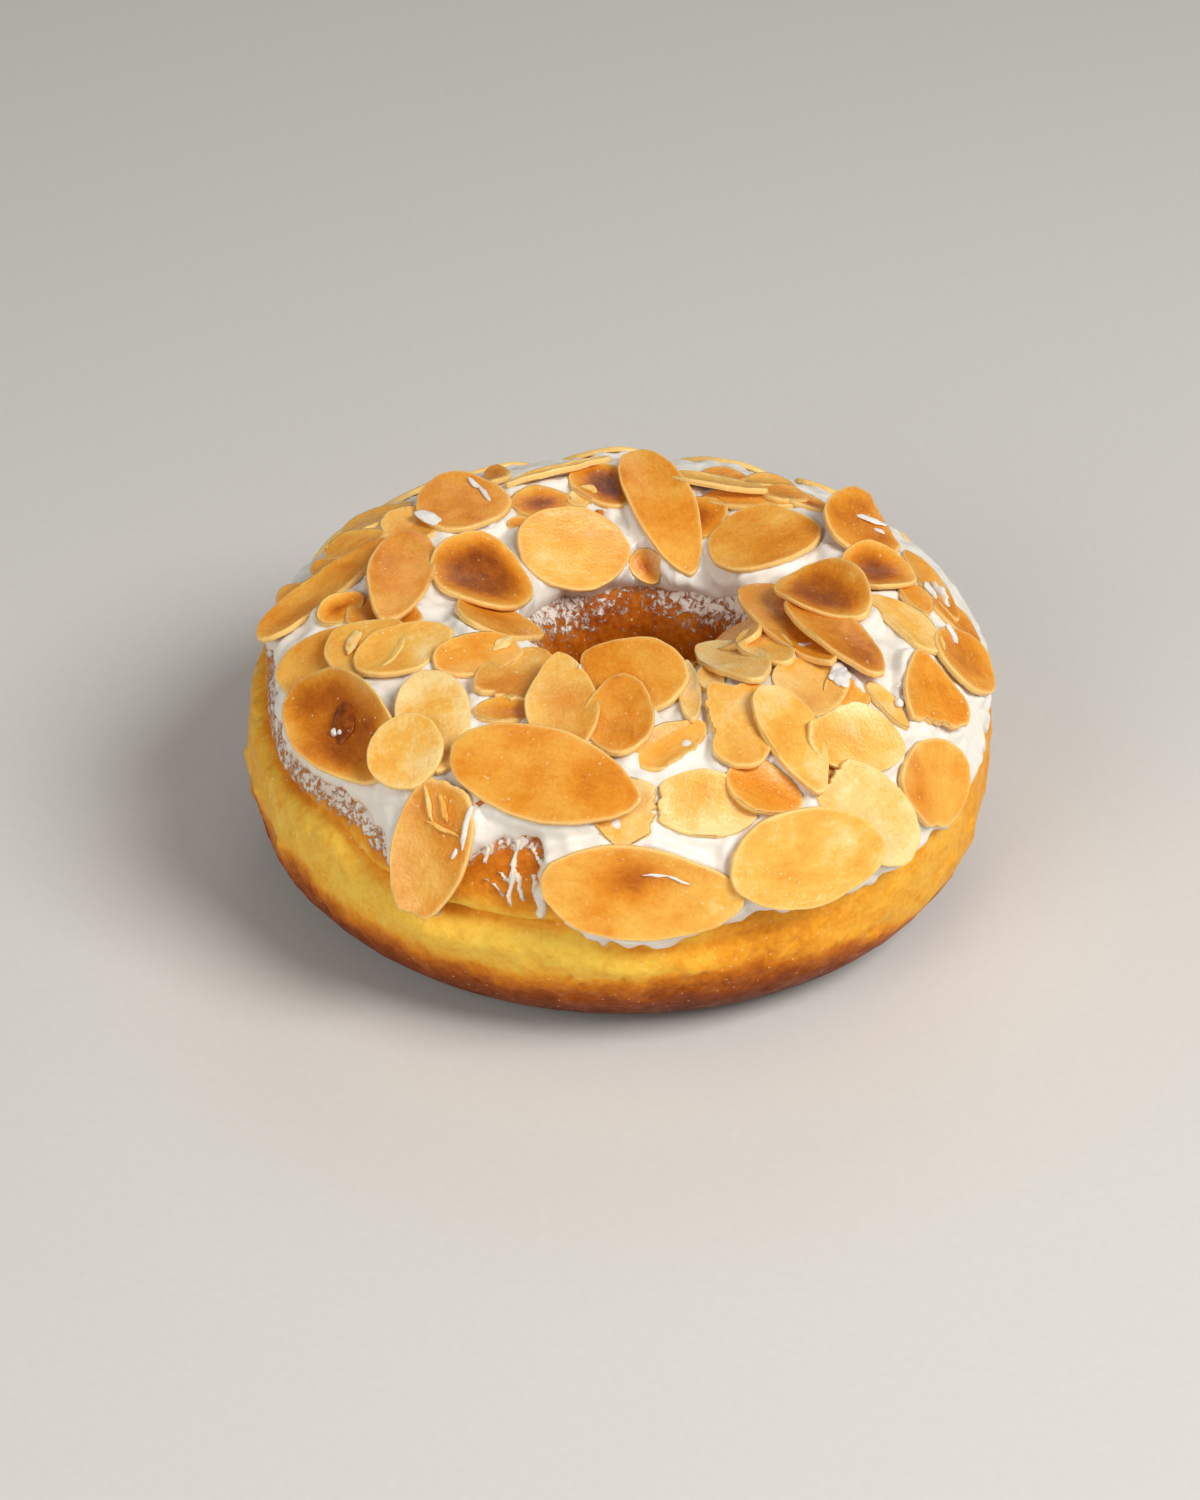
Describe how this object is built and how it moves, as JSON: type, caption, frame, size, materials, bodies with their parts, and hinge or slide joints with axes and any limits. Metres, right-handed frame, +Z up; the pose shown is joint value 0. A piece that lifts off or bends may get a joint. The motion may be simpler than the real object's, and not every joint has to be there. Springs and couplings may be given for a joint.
{
  "type": "almond doughnut",
  "caption": "Ring-shaped fried yeast-dough doughnut with an open hole, coated on top with white cream and covered with toasted sliced almonds.",
  "frame": {"origin": "centre of the footprint, on the floor the doughnut rests on", "axes": "+Z up, through the doughnut's thickness; -Y towards the side that faces the viewer in the picture, +X to the viewer's right"},
  "size_m": [0.09, 0.0952, 0.0405],
  "materials": {
    "fried_dough": "matte, golden fried dough with a pale band round the middle",
    "toasted_almond": "satin, toasted almond slices",
    "white_cream": "soft matte, thin white cream between and under the slices"
  },
  "bodies": {
    "root": {"dough_ring": "fried_dough", "cream_and_almonds": "toasted_almond"}
  },
  "joints": []
}
